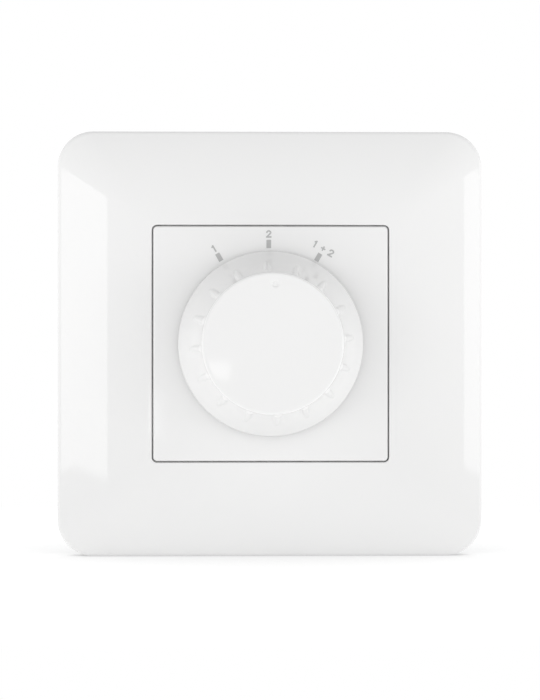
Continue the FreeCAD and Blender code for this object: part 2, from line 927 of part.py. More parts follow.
def make_base_moulding():
    flange = rounded_block(flange_width, flange_corner, flange_front, ring_front)
    cup = tube(base_radius, base_inner_radius, ring_front, base_back)
    bosses = [
        rod(board_boss_radius, ring_front, board_front, x, z)
        for x, z in corners(board_boss_x, board_boss_z)
    ]
    base = flange.fuse([cup] + bosses)
    upper = [finger_slot(-1), finger_slot(1)]
    cuts = upper + [turned(slot, 180) for slot in upper]
    bushing_hole = bushing_radius + bushing_clearance
    lug_hole = lug_radius + lug_clearance
    cuts.append(rod(bushing_hole, flange_front - overcut, ring_front + overcut))
    cuts.append(rod(lug_hole, flange_front - overcut, ring_front + overcut, -lug_place, 0))
    clear = screw_radius + screw_hole_clearance
    for x, z in corners(flange_screw_place, flange_screw_place):
        cuts.append(rod(clear, flange_front - overcut, ring_front + overcut, x, z))
    pilot_front = board_front - housing_screw_bite - pilot_spare
    for x, z in corners(board_boss_x, board_boss_z):
        cuts.append(rod(screw_radius + fixed_clearance, pilot_front, board_front + overcut, x, z))
    return base.cut(cuts).removeSplitter()


def terminal_places():
    """Where each pole's clamp is, block by block."""
    first = -(poles_per_block - 1) / 2
    upper = [((first + step) * pole_pitch, cage_place) for step in range(poles_per_block)]
    return upper, [(x, -z) for x, z in upper]


def make_circuit_board():
    board = rod(base_inner_radius - board_clearance, board_front, board_back)
    front = board_front - overcut
    back = board_back + overcut
    radius = pin_radius + board_hole_clearance
    holes = [rod(radius, front, back, x, z) for x, z in pin_places()]
    radius = terminal_pin_radius + board_hole_clearance
    for places in terminal_places():
        holes += [rod(radius, front, back, x, z) for x, z in places]
    clear = screw_radius + screw_hole_clearance
    holes += [rod(clear, front, back, x, z) for x, z in corners(board_boss_x, board_boss_z)]
    return board.cut(holes)


def block_box(clearance, front, back):
    """The upper terminal block's box, grown all round in X and Z by a clearance."""
    half = poles_per_block * pole_pitch / 2 + clearance
    return block(-half, half, front, back, block_inner - clearance, block_outer + clearance)


def make_terminal_block_upper():
    body = block_box(0.0, board_back, block_back)
    cuts = []
    width = cage_width + 2 * cage_clearance
    depth = cage_depth + 2 * cage_clearance
    pocket_front = cage_front - cage_clearance
    pocket_back = cage_back + cage_clearance
    entry_front = cage_front + cage_height - cage_plate - wire_entry
    well = clamp_head_radius + clamp_well_clearance
    for x, z in terminal_places()[0]:
        cuts.append(centred_block(width, depth, pocket_front, pocket_back, x, z))
        half = wire_entry / 2
        entry = block(x - half, x + half, entry_front, entry_front + wire_entry, z, block_outer + overcut)
        cuts.append(entry)
        cuts.append(rod(well, cage_back, block_back + overcut, x, z))
        hole = terminal_pin_radius + fixed_clearance
        cuts.append(rod(hole, board_back - overcut, cage_front, x, z))
    return body.cut(cuts).removeSplitter()


def make_terminal_block_lower():
    return turned(make_terminal_block_upper(), 180)


def terminal_clamp(x, z):
    """A cage with its threaded plate at the back and its solder pin at the front."""
    cage = centred_block(cage_width, cage_depth, cage_front, cage_back, x, z)
    plate_front = cage_back - cage_plate
    entry_front = plate_front - wire_entry
    inside = cage_width - 2 * cage_wall
    through = cage_depth + 2 * overcut
    tunnel = centred_block(inside, through, entry_front, plate_front, x, z)
    thread = rod(clamp_screw_radius + fixed_clearance, plate_front - overcut, cage_back + overcut, x, z)
    pin = rod(terminal_pin_radius, board_front - pin_proud, cage_front, x, z)
    return cage.cut([tunnel, thread]).fuse(pin).removeSplitter()


def make_terminal_clamps():
    upper, lower = terminal_places()
    return Part.makeCompound([terminal_clamp(x, z) for x, z in upper + lower])


def terminal_screw(x, z):
    head_front = cage_back + clamp_head_lift
    head_back = head_front + clamp_head_height
    shank = rod(clamp_screw_radius, head_front - clamp_screw_length, head_front, x, z)
    head = rod(clamp_head_radius, head_front, head_back, x, z)
    slot_front = head_back - clamp_slot_depth
    slot = centred_block(2 * clamp_head_radius, clamp_slot_width, slot_front, head_back, x, z)
    return shank.fuse(head).cut(slot).removeSplitter()


def make_terminal_screws():
    upper, lower = terminal_places()
    return Part.makeCompound([terminal_screw(x, z) for x, z in upper + lower])


def make_rear_cover():
    inner_front = cover_back - rear_cover_wall
    spigot_radius = base_inner_radius - rear_spigot_clearance
    spigot_inner = spigot_radius - rear_spigot_wall
    spigot_front = board_back + rear_board_gap
    cap = rod(base_radius, base_back, cover_back)
    cap = cap.cut(rod(spigot_inner, base_back - overcut, inner_front))
    spigot = tube(spigot_radius, spigot_inner, spigot_front, base_back)
    places = corners(board_boss_x, board_boss_z)
    sleeves = [rod(board_boss_radius, spigot_front, inner_front, x, z) for x, z in places]
    sleeves = [sleeve.common(rod(spigot_radius, spigot_front, inner_front)) for sleeve in sleeves]
    window = block_box(block_window_clearance, spigot_front - overcut, cover_back + overcut)
    clear = screw_radius + screw_hole_clearance
    cuts = [window, turned(window, 180)]
    cuts += [rod(clear, spigot_front - overcut, cover_back + overcut, x, z) for x, z in places]
    return cap.fuse([spigot] + sleeves).cut(cuts).removeSplitter()


def make_flange_screws():
    """Screws from the front through the flange into the mounting ring."""
    screws = []
    head_front = flange_front - flange_head_height
    for x, z in corners(flange_screw_place, flange_screw_place):
        head = rod(flange_head_radius, head_front, flange_front, x, z)
        shank = rod(screw_radius, flange_front, -screw_tip_gap, x, z)
        recess = cross_recess(head_front, head_front + recess_depth, x, z)
        screws.append(head.fuse(shank).cut(recess).removeSplitter())
    return Part.makeCompound(screws)


def make_housing_screws():
    """Screws from the back through the rear cover and the board into the bosses."""
    screws = []
    head_back = cover_back + housing_head_height
    for x, z in corners(board_boss_x, board_boss_z):
        head = rod(housing_head_radius, cover_back, head_back, x, z)
        shank = rod(screw_radius, board_front - housing_screw_bite, cover_back, x, z)
        recess = cross_recess(head_back - recess_depth, head_back, x, z)
        screws.append(head.fuse(shank).cut(recess).removeSplitter())
    return Part.makeCompound(screws)


nodes = {
    "cover_frame": make_cover_frame,
    "centre_plate": make_centre_plate,
    "position_marks": make_position_marks,
    "mounting_ring": make_mounting_ring,
    "base_moulding": make_base_moulding,
    "flange_screws": make_flange_screws,
    "switch_front_plate": make_switch_front_plate,
    "lock_washer": make_lock_washer,
    "bushing_nut": make_bushing_nut,
    "switch_body": make_switch_body,
    "detent_spring": make_detent_spring,
    "contact_wafer": make_contact_wafer,
    "fixed_contacts": make_fixed_contacts,
    "switch_rivets": make_switch_rivets,
    "circuit_board": make_circuit_board,
    "terminal_block_upper": make_terminal_block_upper,
    "terminal_block_lower": make_terminal_block_lower,
    "terminal_clamps": make_terminal_clamps,
    "terminal_screws": make_terminal_screws,
    "rear_cover": make_rear_cover,
    "housing_screws": make_housing_screws,
    "knob": make_knob,
    "knob_spring": make_knob_spring,
    "switch_shaft": make_switch_shaft,
    "retaining_ring": make_retaining_ring,
    "detent_wheel": make_detent_wheel,
    "rotor": make_rotor,
    "wiper_contacts": make_wiper_contacts,
}

os.makedirs("parts", exist_ok=True)
for name, make in nodes.items():
    solids = make().Solids
    shape = solids[0] if len(solids) == 1 else Part.makeCompound(solids)
    shape.exportStep(f"parts/{name}.step")
    valid = all(solid.isValid() for solid in solids)
    print(f"{name}: {len(solids)} solids, {shape.Volume:.1f} mm3, valid {valid}")
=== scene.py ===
import bmesh
import bpy
import math
from mathutils import Matrix, Vector


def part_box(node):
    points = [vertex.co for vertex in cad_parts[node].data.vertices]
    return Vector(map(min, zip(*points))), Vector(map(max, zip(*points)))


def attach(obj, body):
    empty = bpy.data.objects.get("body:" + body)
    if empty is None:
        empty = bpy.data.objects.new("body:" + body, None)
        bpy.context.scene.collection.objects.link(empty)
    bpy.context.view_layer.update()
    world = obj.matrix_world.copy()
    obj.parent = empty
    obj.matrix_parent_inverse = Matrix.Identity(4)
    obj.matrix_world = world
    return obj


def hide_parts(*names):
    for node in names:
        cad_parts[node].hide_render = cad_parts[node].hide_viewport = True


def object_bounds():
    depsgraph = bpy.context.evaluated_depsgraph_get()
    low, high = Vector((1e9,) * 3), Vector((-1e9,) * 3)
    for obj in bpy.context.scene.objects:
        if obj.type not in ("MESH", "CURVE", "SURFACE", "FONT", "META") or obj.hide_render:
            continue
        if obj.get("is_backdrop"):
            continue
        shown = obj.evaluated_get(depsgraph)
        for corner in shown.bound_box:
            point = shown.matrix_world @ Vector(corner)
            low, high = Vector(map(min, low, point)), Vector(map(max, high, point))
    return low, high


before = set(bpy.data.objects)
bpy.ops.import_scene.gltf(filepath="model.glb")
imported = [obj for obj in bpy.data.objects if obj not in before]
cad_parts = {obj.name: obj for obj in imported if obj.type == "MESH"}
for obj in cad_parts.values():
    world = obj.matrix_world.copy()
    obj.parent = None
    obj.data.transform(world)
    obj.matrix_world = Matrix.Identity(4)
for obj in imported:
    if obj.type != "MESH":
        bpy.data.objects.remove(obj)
cad_low, cad_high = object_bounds()
mm = 0.001

# Mounting ring: a square of 1.2 mm steel sheet that the wall box's screws hold against the wall.
# It is stamped with its slots and holes, lightly rounded at the stamped edges, and zinc plated.


def surface(name):
    """A new material with its shader and the piece's own coordinates."""
    material = bpy.data.materials.new(name)
    material.use_nodes = True
    nodes = material.node_tree.nodes
    shader = nodes["Principled BSDF"]
    place = nodes.new("ShaderNodeTexCoord").outputs["Object"]
    return material, nodes, material.node_tree.links, shader, place


def noise(nodes, links, place, size, detail=3.0, stretch=(1, 1, 1)):
    """A cloudy pattern whose lumps are about as wide as size, in metres."""
    mapping = nodes.new("ShaderNodeMapping")
    mapping.inputs["Scale"].default_value = stretch
    texture = nodes.new("ShaderNodeTexNoise")
    texture.inputs["Scale"].default_value = 1 / size
    texture.inputs["Detail"].default_value = detail
    links.new(place, mapping.inputs["Vector"])
    links.new(mapping.outputs["Vector"], texture.inputs["Vector"])
    return texture.outputs["Fac"]


def between(nodes, links, share, low, high, start=0.3, end=0.7):
    """A number that goes from low to high while a share goes from start to end."""
    spread = nodes.new("ShaderNodeMapRange")
    spread.inputs["From Min"].default_value = start
    spread.inputs["From Max"].default_value = end
    spread.inputs["To Min"].default_value = low
    spread.inputs["To Max"].default_value = high
    links.new(share, spread.inputs["Value"])
    return spread.outputs["Result"]


def two_tones(nodes, links, share, first, second):
    """A colour that follows a pattern from first to second."""
    mix = nodes.new("ShaderNodeMix")
    mix.data_type = "RGBA"
    mix.inputs["A"].default_value = (*first, 1)
    mix.inputs["B"].default_value = (*second, 1)
    links.new(share, mix.inputs["Factor"])
    return mix.outputs["Result"]


def relief(nodes, links, shader, height, depth):
    """Small hills in the surface, depth high, in metres."""
    bump = nodes.new("ShaderNodeBump")
    bump.inputs["Strength"].default_value = 1.0
    bump.inputs["Distance"].default_value = depth
    links.new(height, bump.inputs["Height"])
    links.new(bump.outputs["Normal"], shader.inputs["Normal"])


def metal(name, first, second, smooth, rough, stretch=(1, 1, 1)):
    """A metal with cloudy plating and fine marks, drawn out where stretch is small."""
    cloud_size = 6 * mm
    mark_size = 0.35 * mm
    mark_depth = 0.004 * mm
    material, nodes, links, shader, place = surface(name)
    shader.inputs["Metallic"].default_value = 1.0
    clouds = noise(nodes, links, place, cloud_size)
    marks = noise(nodes, links, place, mark_size, detail=4.0, stretch=stretch)
    links.new(two_tones(nodes, links, clouds, first, second), shader.inputs["Base Color"])
    links.new(between(nodes, links, marks, smooth, rough), shader.inputs["Roughness"])
    relief(nodes, links, shader, marks, mark_depth)
    return material


def paint(node, material):
    """Gives a CAD node its finish."""
    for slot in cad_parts[node].material_slots:
        slot.material = material


zinc = metal(
    "zinc_plate",
    first=(0.58, 0.60, 0.62),
    second=(0.68, 0.69, 0.69),
    smooth=0.24,
    rough=0.40,
    stretch=(1, 1, 0.08),
)
paint("mounting_ring", zinc)

# Base moulding: a cup with a square flange, injection moulded in pale grey filled nylon.
# Four screws hold its flange to the mounting ring from the front.


def moulded(name, first, second, smooth, rough, grain, depth):
    """A moulded plastic with a slight cloud in its colour and a fine grain."""
    cloud_size = 14 * mm
    material, nodes, links, shader, place = surface(name)
    clouds = noise(nodes, links, place, cloud_size)
    grains = noise(nodes, links, place, grain, detail=2.0)
    links.new(two_tones(nodes, links, clouds, first, second), shader.inputs["Base Color"])
    links.new(between(nodes, links, grains, smooth, rough), shader.inputs["Roughness"])
    relief(nodes, links, shader, grains, depth)
    return material


nylon = moulded(
    "grey_nylon",
    first=(0.50, 0.51, 0.52),
    second=(0.54, 0.55, 0.56),
    smooth=0.42,
    rough=0.55,
    grain=0.3 * mm,
    depth=0.012 * mm,
)
paint("base_moulding", nylon)
paint("flange_screws", zinc)

# Rotary switch: a cast front plate with the threaded bushing, a moulded body and a laminate wafer.
# Two rivets close it, and a toothed washer and a nut hold it in the base moulding.
nickel = metal(
    "nickel",
    first=(0.66, 0.63, 0.57),
    second=(0.74, 0.71, 0.65),
    smooth=0.14,
    rough=0.26,
)
phenolic = moulded(
    "black_phenolic",
    first=(0.018, 0.018, 0.020),
    second=(0.030, 0.029, 0.028),
    smooth=0.32,
    rough=0.5,
    grain=0.4 * mm,
    depth=0.01 * mm,
)
paint("switch_front_plate", zinc)
paint("lock_washer", nickel)
paint("bushing_nut", nickel)
paint("switch_body", phenolic)
paint("switch_rivets", nickel)

# Shaft and detent: a turned shaft with a moulded star wheel, and a bent leaf that drops in its notches.
# The rotor and its sprung bridges ride on the same shaft.
turned = metal(
    "turned_steel",
    first=(0.55, 0.55, 0.56),
    second=(0.62, 0.62, 0.62),
    smooth=0.18,
    rough=0.34,
    stretch=(1, 6, 1),
)
bronze = metal(
    "spring_bronze",
    first=(0.60, 0.42, 0.24),
    second=(0.68, 0.50, 0.30),
    smooth=0.20,
    rough=0.34,
)
acetal = moulded(
    "white_acetal",
    first=(0.76, 0.76, 0.74),
    second=(0.80, 0.80, 0.78),
    smooth=0.35,
    rough=0.48,
    grain=0.5 * mm,
    depth=0.006 * mm,
)
for node in ("switch_shaft", "retaining_ring", "knob_spring"):
    paint(node, turned)
for node in ("detent_spring", "wiper_contacts"):
    paint(node, bronze)
paint("detent_wheel", acetal)
paint("rotor", phenolic)

# Circuit board and wafer: punched discs of laminate. The wafer carries the fixed bronze contacts.
# The board is green with its mask, and joins the switch's pins to the terminals.
board_green = moulded(
    "board_mask",
    first=(0.015, 0.115, 0.045),
    second=(0.022, 0.150, 0.060),
    smooth=0.25,
    rough=0.38,
    grain=0.6 * mm,
    depth=0.01 * mm,
)
laminate = moulded(
    "brown_laminate",
    first=(0.23, 0.12, 0.055),
    second=(0.31, 0.17, 0.080),
    smooth=0.38,
    rough=0.55,
    grain=0.25 * mm,
    depth=0.01 * mm,
)
paint("circuit_board", board_green)
paint("contact_wafer", laminate)
paint("fixed_contacts", bronze)

# Terminal blocks: two rows of six poles in green moulded plastic, which stand on the board.
# Each pole holds a plated clamp cage and its screw.
terminal_green = moulded(
    "terminal_green",
    first=(0.030, 0.235, 0.120),
    second=(0.038, 0.270, 0.140),
    smooth=0.34,
    rough=0.46,
    grain=0.3 * mm,
    depth=0.01 * mm,
)
paint("terminal_block_upper", terminal_green)
paint("terminal_block_lower", terminal_green)
paint("terminal_clamps", nickel)
paint("terminal_screws", zinc)

# Rear cover: a moulded cap over the board, in the same nylon as the cup, with windows for the blocks.
# Four screws go through it and the board into the base moulding.
paint("rear_cover", nylon)
paint("housing_screws", zinc)

# Cover frame: the square frame that is seen on the wall, injection moulded in glossy white plastic.
# Its face is a convex band round a square window, and its round corners grow towards the outside.
white = moulded(
    "white_plastic",
    first=(0.855, 0.855, 0.853),
    second=(0.868, 0.868, 0.866),
    smooth=0.035,
    rough=0.06,
    grain=1.6 * mm,
    depth=0.0004 * mm,
)
low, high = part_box("cover_frame")
frame_half = high.x
frame_front = low.y
frame_corner = 6.8 * mm
frame_edge_round = 1.0 * mm
frame_side_wall = 1.8 * mm
frame_shell = 2.0 * mm
window_half = 22.5 * mm
window_corner = 1.0 * mm
window_round = 0.22 * mm
window_wall = 1.6 * mm
window_seat = -7.0 * mm
ledge_half = 21.0 * mm
ledge_back = -5.5 * mm
edge_slope = math.radians(24)
frame_chamfer = 0.25 * mm
window_round_start = -0.1
corner_steps = 14
edge_steps = 10
face_steps = 48
window_steps = 5
inside_steps = 8


def new_piece(name, bm, body, nodes, material):
    """Turns a bmesh into a piece that rides on a body and stands for CAD nodes."""
    sharp = math.radians(32)
    bmesh.ops.remove_doubles(bm, verts=bm.verts, dist=1e-7)
    bmesh.ops.recalc_face_normals(bm, faces=bm.faces)
    for face in bm.faces:
        face.smooth = True
    for edge in bm.edges:
        edge.smooth = edge.is_manifold and edge.calc_face_angle(0) < sharp
    mesh = bpy.data.meshes.new(name)
    bm.to_mesh(mesh)
    bm.free()
    mesh.materials.append(material)
    piece = bpy.data.objects.new(name, mesh)
    bpy.context.scene.collection.objects.link(piece)
    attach(piece, body)
    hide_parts(*nodes)
    return piece


def outline(bm, half, corner, y):
    """A square loop of edges with round corners, across Y."""
    turn = Matrix.Translation((0, y, 0)) @ Matrix.Rotation(math.pi / 2, 4, "X")
    made = bmesh.ops.create_grid(bm, x_segments=1, y_segments=1, size=half, matrix=turn)
    made = bmesh.ops.bevel(
        bm,
        geom=made["verts"],
        offset=corner,
        segments=corner_steps,
        profile=0.5,
        affect="VERTICES",
        material=-1,
    )
    verts = set(made["verts"])
    faces = [face for face in bm.faces if set(face.verts) <= verts]
    bmesh.ops.delete(bm, geom=faces, context="FACES_ONLY")
    return [edge for edge in bm.edges if set(edge.verts) <= verts]


def arc(centre, radius, first, last, steps):
    """Points (reach, y) round a centre. The angle runs from facing front towards facing out."""
    points = []
    for step in range(steps + 1):
        angle = first + (last - first) * step / steps
        points.append((centre[0] + radius * math.sin(angle), centre[1] - radius * math.cos(angle)))
    return points


crown_radius = (frame_half - window_half) / math.sin(edge_slope)
crown_y = frame_front + crown_radius
across = frame_half - frame_edge_round - window_half
crown_reach = crown_radius - frame_edge_round
edge_angle = math.asin(across / crown_reach)
edge_y = crown_y - math.sqrt(crown_reach**2 - across**2)
edge_half = frame_half - frame_edge_round * (1 - math.sin(edge_angle))
edge_corner = frame_corner - (frame_half - edge_half)


def outside_corner(half):
    """Corner radius of the outside at a distance from the centre."""
    if half > edge_half:
        return frame_corner - (frame_half - half)
    share = (half - window_half) / (edge_half - window_half)
    return window_corner + (edge_corner - window_corner) * share


inner_crown = crown_radius - frame_shell
column_half = window_half + window_wall
hollow_half = frame_half - frame_side_wall
hollow_corner = frame_corner - frame_side_wall
round_angle = math.asin(window_round / crown_radius)
edge_centre = (frame_half - frame_edge_round, edge_y)
crown_centre = (window_half, crown_y)
window_centre = (window_half + window_round, frame_front + window_round)
outside = [(frame_half, -frame_chamfer)]
outside += arc(edge_centre, frame_edge_round, math.pi / 2, edge_angle, edge_steps)
outside += arc(crown_centre, crown_radius, edge_angle, round_angle, face_steps)[1:]
outside += arc(window_centre, window_round, window_round_start, -math.pi / 2, window_steps)
sections = [(half, outside_corner(half), y) for half, y in outside]
sections += [(window_half, window_corner, window_seat), (ledge_half, window_corner, window_seat)]
column_corner = window_corner + window_wall
sections += [(ledge_half, window_corner, ledge_back), (column_half, column_corner, ledge_back)]
column_angle = math.asin(window_wall / inner_crown)
side_angle = math.asin((hollow_half - window_half) / inner_crown)
for half, y in arc(crown_centre, inner_crown, column_angle, side_angle, inside_steps):
    share = (half - column_half) / (hollow_half - column_half)
    sections.append((half, column_corner + (hollow_corner - column_corner) * share, y))
sections.append((hollow_half, hollow_corner, 0.0))
sections.append((frame_half - frame_chamfer, frame_corner - frame_chamfer, 0.0))


def grow(bm, edges, old, new):
    """Extrudes a square loop of edges to a new half width, corner radius and place on Y."""
    old_half, old_corner, _ = old
    new_half, new_corner, new_y = new
    made = bmesh.ops.extrude_edge_only(bm, edges=edges)["geom"]
    verts = {item for item in made if isinstance(item, bmesh.types.BMVert)}
    for vert in verts:
        for axis in (0, 2):
            past_centre = (abs(vert.co[axis]) - old_half + old_corner) / old_corner
            vert.co[axis] = math.copysign(new_half - new_corner + past_centre * new_corner, vert.co[axis])
        vert.co.y = new_y
    return [item for item in made if isinstance(item, bmesh.types.BMEdge) and set(item.verts) <= verts]


shell = bmesh.new()
first = outline(shell, *sections[0])
last = first
for old, new in zip(sections, sections[1:]):
    last = grow(shell, last, old, new)
bmesh.ops.bridge_loops(shell, edges=first + last)

# Eight short ribs inside the side walls centre the frame on the mounting ring.
locating_inner = 35.8 * mm
locating_outer = 39.6 * mm
locating_place = 22.0 * mm
locating_thickness = 1.2 * mm
locating_round = 0.15 * mm
locating_size = Matrix.Diagonal((locating_outer - locating_inner, -edge_y, locating_thickness, 1))
for quarter in range(4):
    turn = Matrix.Rotation(math.pi / 2 * quarter, 4, "Y")
    for side in (-1, 1):
        middle = ((locating_inner + locating_outer) / 2, edge_y / 2, side * locating_place)
        place = turn @ Matrix.Translation(middle) @ locating_size
        made = bmesh.ops.create_cube(shell, size=1, matrix=place)["verts"]
        bmesh.ops.bevel(
            shell,
            geom=[edge for edge in shell.edges if set(edge.verts) <= set(made)],
            offset=locating_round,
            segments=2,
            profile=0.5,
            affect="EDGES",
            material=-1,
        )
new_piece("cover_frame_shell", shell, "housing", ["cover_frame"], white)

# Centre plate: the flat square insert behind the knob, in the same white plastic.
# Four snap fingers behind it go through slots in the base moulding's flange.
paint("centre_plate", white)

# Position marks: three bars with their numbers, one for each place of the switch.
# They are pad printed on the plate in pale grey ink.
ink = moulded(
    "grey_ink",
    first=(0.46, 0.46, 0.46),
    second=(0.505, 0.505, 0.505),
    smooth=0.45,
    rough=0.6,
    grain=0.12 * mm,
    depth=0.002 * mm,
)
paint("position_marks", ink)

# Knob: a hollow white moulding with a wide lower lip, a gently hollow flank and sixteen grip ribs.
# It is pushed on the shaft's flat, and a shallow dimple in its face is the pointer.
low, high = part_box("knob")
knob_radius = high.x
knob_back = high.y
knob_crown = 0.2 * mm
knob_front = low.y + knob_crown
knob_lip = 0.5 * mm
knob_top = 13.1 * mm
knob_round = 0.5 * mm
knob_hollow = 0.42 * mm
knob_wall = 1.9 * mm
hub_radius = 5.2 * mm
bore_radius = 3.02 * mm
rib_count = 16
rib_first = math.radians(-4.0)
rib_radius = 1.0 * mm
rib_height = 0.22 * mm
rib_run = 9.0 * mm
rib_lead = 1.4 * mm
dimple_depth = 0.2 * mm
dimple_half = 0.75 * mm
dimple_edge = 0.3 * mm
dimple_place = 10.95 * mm
dimple_angle = math.radians(2.5)
sector_steps = 36
flank_steps = 40
round_steps = 8
inner_steps = 8
outer_ring = 12.25 * mm
fine_start = 11.9 * mm
fine_pitch = 0.1 * mm
fine_rings = 20
coarse_start = 10.0 * mm
coarse_rings = 12
lip_round = 0.15 * mm
hub_step = 0.2 * mm
bore_floor = 3.3 * mm
hair = 1e-7


def bowed(first, last, hollow, steps):
    """Points from first to last along an arc that bows inwards by hollow."""
    span = math.dist(first, last)
    inward = ((last[1] - first[1]) / span, (first[0] - last[0]) / span)
    points = []
    for step in range(steps + 1):
        share = step / steps
        bow = 4 * share * (1 - share) * hollow
        points.append((
            first[0] + (last[0] - first[0]) * share + inward[0] * bow,
            first[1] + (last[1] - first[1]) * share + inward[1] * bow,
        ))
    return points


face_radius = knob_top - knob_round
flank_front = knob_front + knob_round
profile = [(knob_radius - lip_round, knob_back), (knob_radius, knob_back - lip_round)]
profile += bowed((knob_radius, knob_back - knob_lip), (knob_top, flank_front), knob_hollow, flank_steps)
profile += arc((face_radius, flank_front), knob_round, math.pi / 2, 0, round_steps)[1:]

# The rings of the face lie close together where the dimple is.
face_rings = [outer_ring] + [fine_start - fine_pitch * ring for ring in range(fine_rings)]
face_rings += [coarse_start * (1 - ring / coarse_rings) for ring in range(1, coarse_rings + 1)]
for ring in face_rings:
    profile.append((ring, knob_front - knob_crown * (1 - (ring / face_radius) ** 2)))


def rib_floor(y):
    """A radius inside the flank's wall at a height, which parts its outside from its inside."""
    return knob_top - knob_wall / 2 + (y - knob_front) * (knob_radius - knob_top) / (knob_back - knob_front)


def eased(share):
    """A share from 0 to 1 that leaves and arrives gently."""
    return share * share * (3 - 2 * share)


inner_low = (knob_radius - knob_wall, knob_back)
inner_high = (knob_top - knob_wall, knob_front + knob_wall)
hub_back = knob_back - hub_step
bore_front = knob_front + bore_floor
inner = [(0, bore_front), (bore_radius, bore_front), (bore_radius, hub_back), (hub_radius, hub_back)]
inner += [(hub_radius, inner_high[1])] + bowed(inner_low, inner_high, knob_hollow, inner_steps)[::-1]

# One sector with one rib is turned, and its copies close the round.
sector = bmesh.new()
half_pitch = math.pi / rib_count
for points in (profile, inner + profile[:1]):
    verts = [sector.verts.new((x, y, 0)) for x, y in points]
    edges = [sector.edges.new(pair) for pair in zip(verts, verts[1:])]
    bmesh.ops.spin(
        sector,
        geom=verts + edges,
        cent=(0, 0, 0),
        axis=(0, 1, 0),
        angle=2 * half_pitch,
        steps=sector_steps,
    )
rise = (knob_radius - knob_top) / (knob_back - knob_lip - flank_front)
high_crest = knob_top + rib_height
low_crest = knob_top + rise * rib_run - knob_hollow
for vert in sector.verts:
    radius = math.hypot(vert.co.x, vert.co.z)
    up_flank = (vert.co.y - flank_front) / rib_run
    side = radius * (math.atan2(-vert.co.z, vert.co.x) - half_pitch)
    past_face = vert.co.y >= knob_front and radius > face_radius + hair
    on_outside = past_face and radius > rib_floor(vert.co.y)
    if not on_outside or up_flank > 1 or abs(side) > rib_radius:
        continue
    crest = high_crest + (low_crest - high_crest) * max(up_flank, 0.0)
    bump = crest - rib_radius + math.sqrt(rib_radius**2 - side**2) - max(radius, knob_top)
    lead = min(max((vert.co.y - flank_front) / rib_lead, 0.0), 1.0)
    bump *= eased(lead)
    if bump > 0:
        vert.co.x *= (radius + bump) / radius
        vert.co.z *= (radius + bump) / radius
first_turn = math.pi / 2 - rib_first + half_pitch
bmesh.ops.rotate(sector, verts=sector.verts, cent=(0, 0, 0), matrix=Matrix.Rotation(-first_turn, 3, "Y"))
whole = list(sector.verts) + list(sector.edges) + list(sector.faces)
for step in range(1, rib_count):
    copy = bmesh.ops.duplicate(sector, geom=whole)["geom"]
    verts = [item for item in copy if isinstance(item, bmesh.types.BMVert)]
    turn = Matrix.Rotation(2 * half_pitch * step, 3, "Y")
    bmesh.ops.rotate(sector, verts=verts, cent=(0, 0, 0), matrix=turn)
dimple_x = dimple_place * math.sin(dimple_angle)
dimple_z = dimple_place * math.cos(dimple_angle)
for vert in sector.verts:
    away = math.hypot(vert.co.x - dimple_x, vert.co.z - dimple_z)
    if away < dimple_half and vert.co.y < knob_front:
        slope = min((dimple_half - away) / dimple_edge, 1.0)
        vert.co.y += dimple_depth * eased(slope)
new_piece("knob_cap", sector, "knob_and_shaft", ["knob"], white)

# Ground: a small white sheet under the switch that glows, so that it shows little but a soft shadow.
# Its glow holds a painted shadow, darker round the switch and where they touch, and fades to plain white
# away from it.
# Its grey surface also takes the lamps' real shadow.
ground_half = 0.24
ground_grey = 0.45
shadow_reach = 0.09
shadow_glow = 0.38
open_glow = 0.80
contact_reach = 0.0016
contact_glow = 0.75
fade_start = 0.10
fade_end = 0.17


def joined(nodes, links, operation, first, second):
    """A number worked out from two others."""
    result = nodes.new("ShaderNodeMath")
    result.operation = operation
    links.new(first, result.inputs[0])
    links.new(second, result.inputs[1])
    return result.outputs["Value"]


def openness(nodes, reach):
    """How free a point is of other surfaces within reach, from 0 to 1."""
    shade = nodes.new("ShaderNodeAmbientOcclusion")
    shade.inputs["Distance"].default_value = reach
    return shade.outputs["AO"]


sheet = bmesh.new()
bmesh.ops.create_grid(
    sheet,
    x_segments=1,
    y_segments=1,
    size=ground_half,
    matrix=Matrix.Translation((0, 0, cad_low.z)),
)
mesh = bpy.data.meshes.new("ground")
sheet.to_mesh(mesh)
sheet.free()
ground = bpy.data.objects.new("ground", mesh)
bpy.context.scene.collection.objects.link(ground)
ground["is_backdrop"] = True
material, nodes, links, shader, place = surface("ground_white")
mesh.materials.append(material)
shader.inputs["Base Color"].default_value = (ground_grey, ground_grey, ground_grey, 1)
shader.inputs["Roughness"].default_value = 0.6
shader.inputs["Specular IOR Level"].default_value = 0.0
shader.inputs["Emission Color"].default_value = (1, 1, 1, 1)
# Painted shadow: the glow is dimmed where other surfaces are near, widely round the switch and closely where
# they touch.
shadow_level = between(nodes, links, openness(nodes, shadow_reach), shadow_glow, open_glow, 0.0, 1.0)
contact_level = between(nodes, links, openness(nodes, contact_reach), contact_glow, 1.0, 0.0, 1.0)
glow = joined(nodes, links, "MULTIPLY", shadow_level, contact_level)
links.new(glow, shader.inputs["Emission Strength"])
far = nodes.new("ShaderNodeVectorMath")
far.operation = "LENGTH"
links.new(place, far.inputs[0])
fade = nodes.new("ShaderNodeMapRange")
fade.interpolation_type = "SMOOTHSTEP"
fade.inputs["From Min"].default_value = fade_start
fade.inputs["From Max"].default_value = fade_end
links.new(far.outputs["Value"], fade.inputs["Value"])
path = nodes.new("ShaderNodeLightPath")
bounced = joined(nodes, links, "MAXIMUM", path.outputs["Is Glossy Ray"], path.outputs["Is Transmission Ray"])
share = joined(nodes, links, "MAXIMUM", fade.outputs["Result"], bounced)
plain_white = nodes.new("ShaderNodeEmission")
mix = nodes.new("ShaderNodeMixShader")
links.new(share, mix.inputs["Fac"])
links.new(shader.outputs["BSDF"], mix.inputs[1])
links.new(plain_white.outputs["Emission"], mix.inputs[2])
links.new(mix.outputs["Shader"], nodes["Material Output"].inputs["Surface"])

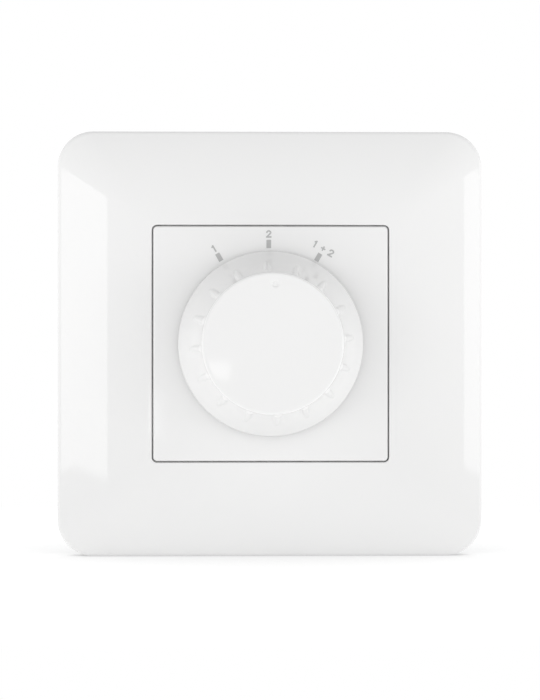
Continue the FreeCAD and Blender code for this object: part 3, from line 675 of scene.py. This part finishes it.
# Light: a soft box on each side, one in front from a little below, a faint one at the right end,
# and a small card that the knob's face mirrors. The room is white to the eye and in reflections,
# and its light on the surfaces is strongest from the two sides and weakest from above.
world = bpy.data.worlds.new("room")
world.use_nodes = True
bpy.context.scene.world = world
nodes = world.node_tree.nodes
links = world.node_tree.links
room_top = 0.33
room_side = 0.88
room_wall = 0.62
path = nodes.new("ShaderNodeLightPath")
bounced = joined(nodes, links, "MAXIMUM", path.outputs["Is Glossy Ray"], path.outputs["Is Transmission Ray"])
seen = joined(nodes, links, "MAXIMUM", path.outputs["Is Camera Ray"], bounced)
direction = nodes.new("ShaderNodeSeparateXYZ")
links.new(nodes.new("ShaderNodeTexCoord").outputs["Generated"], direction.inputs["Vector"])
height_level = between(nodes, links, direction.outputs["Z"], room_side, room_top, 0.0, 1.0)
squared = joined(nodes, links, "MULTIPLY", direction.outputs["X"], direction.outputs["X"])
walls = nodes.new("ShaderNodeMath")
walls.operation = "MULTIPLY_ADD"
walls.inputs[1].default_value = room_wall
links.new(squared, walls.inputs[0])
links.new(height_level, walls.inputs[2])
level = nodes.new("ShaderNodeMapRange")
level.inputs["To Max"].default_value = 1.0
links.new(seen, level.inputs["Value"])
links.new(walls.outputs["Value"], level.inputs["To Min"])
links.new(level.outputs["Result"], nodes["Background"].inputs["Strength"])
nodes["Background"].inputs["Color"].default_value = (1, 1, 1, 1)


def soft_box(name, azimuth, elevation, distance, width, height, radiance, mirrored=True):
    """A rectangular lamp that faces the switch. Azimuth 0 is in front and positive to the right."""
    lamp = bpy.data.lights.new(name, "AREA")
    lamp.shape = "RECTANGLE"
    lamp.size = width
    lamp.size_y = height
    lamp.energy = radiance * math.pi * width * height
    holder = bpy.data.objects.new(name, lamp)
    bpy.context.scene.collection.objects.link(holder)
    around = Matrix.Rotation(math.radians(azimuth), 4, "Z")
    tilt = Matrix.Rotation(math.radians(90 - elevation), 4, "X")
    holder.matrix_world = around @ tilt @ Matrix.Translation((0, 0, distance))
    holder.visible_camera = False
    holder.visible_glossy = mirrored


soft_box(
    "left_box",
    azimuth=-38.5,
    elevation=0,
    distance=1.0,
    width=0.48,
    height=0.24,
    radiance=1.7,
)
soft_box(
    "right_box",
    azimuth=58,
    elevation=0,
    distance=1.0,
    width=0.48,
    height=0.24,
    radiance=1.7,
)
soft_box(
    "front_box",
    azimuth=0,
    elevation=-16,
    distance=1.2,
    width=0.8,
    height=0.4,
    radiance=1.0,
    mirrored=False,
)
soft_box(
    "right_side",
    azimuth=95,
    elevation=0,
    distance=1.0,
    width=0.5,
    height=0.7,
    radiance=0.21,
)
soft_box(
    "lens_card",
    azimuth=-3.1,
    elevation=-2.1,
    distance=1.0,
    width=0.036,
    height=0.026,
    radiance=1.7,
)

# Camera: level with the switch and a little to its left, half a metre in front of the frame's edge.
# Its focal length, in pixels, is the one that gives the frame its width in the picture.
silhouette_y = edge_y
camera_distance = 0.5
camera_left = 0.013
aim_drop = 0.0012
lens_pixels = 2617
picture_width = 540
camera = bpy.data.cameras.new("camera")
camera.sensor_fit = "HORIZONTAL"
camera.sensor_width = 36
camera.lens = lens_pixels * camera.sensor_width / picture_width
camera.clip_start = 0.01
viewer = bpy.data.objects.new("camera", camera)
bpy.context.scene.collection.objects.link(viewer)
eye = Vector((-camera_left, silhouette_y - camera_distance, -aim_drop))
aim = Vector((0, silhouette_y, -aim_drop))
viewer.location = eye
viewer.rotation_euler = (aim - eye).to_track_quat("-Z", "Y").to_euler()
bpy.context.scene.camera = viewer
bpy.context.scene.view_settings.view_transform = "Standard"

low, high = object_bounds()
